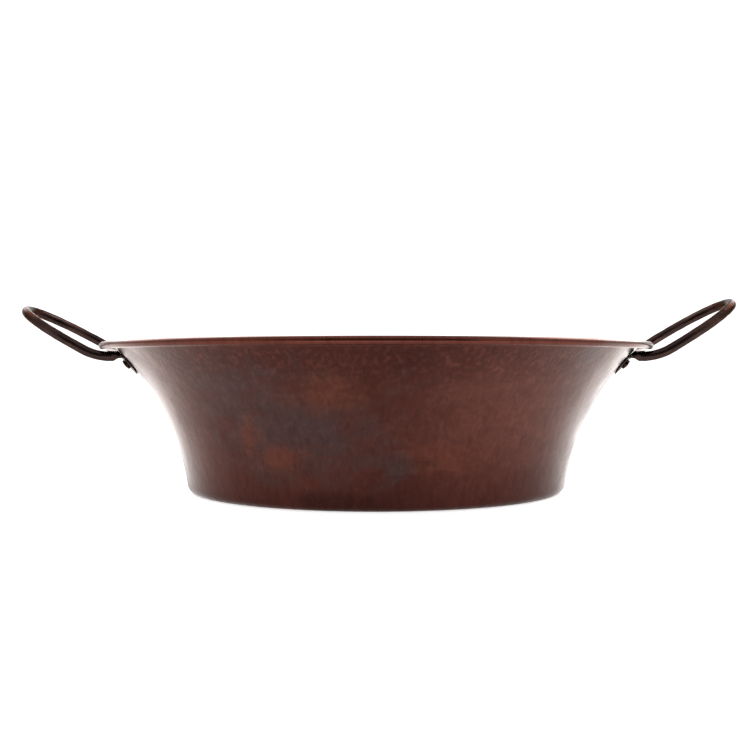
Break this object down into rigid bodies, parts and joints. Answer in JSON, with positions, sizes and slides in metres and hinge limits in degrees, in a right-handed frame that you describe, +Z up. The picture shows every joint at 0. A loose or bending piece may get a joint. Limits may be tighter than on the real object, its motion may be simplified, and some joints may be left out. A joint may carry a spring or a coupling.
{
  "type": "hammered copper bowl",
  "caption": "Wide flat-bottomed hammered copper bowl with a flared wall, a wired rolled rim and riveted loop handles at both sides.",
  "frame": {"origin": "middle of the flat base, on the surface that the bowl stands on, on the axis of the bowl", "axes": "+Z up out of the bowl, the two handles along X, -Y towards the front"},
  "size_m": [0.533, 0.406, 0.1429],
  "materials": {
    "copper": "hammered copper with a dark red-brown patina, satin",
    "iron": "dark forged rod with a brown-black patina, satin",
    "steel_wire": "plain drawn wire, closed in the rim"
  },
  "bodies": {
    "root": {"bowl": "copper", "rim_wire": "steel_wire", "handle_left": "iron", "handle_right": "iron", "rivet_left_front": "iron", "rivet_left_back": "iron", "rivet_right_front": "iron", "rivet_right_back": "iron", "burr_left_front": "iron", "burr_left_back": "iron", "burr_right_front": "iron", "burr_right_back": "iron"}
  },
  "joints": []
}
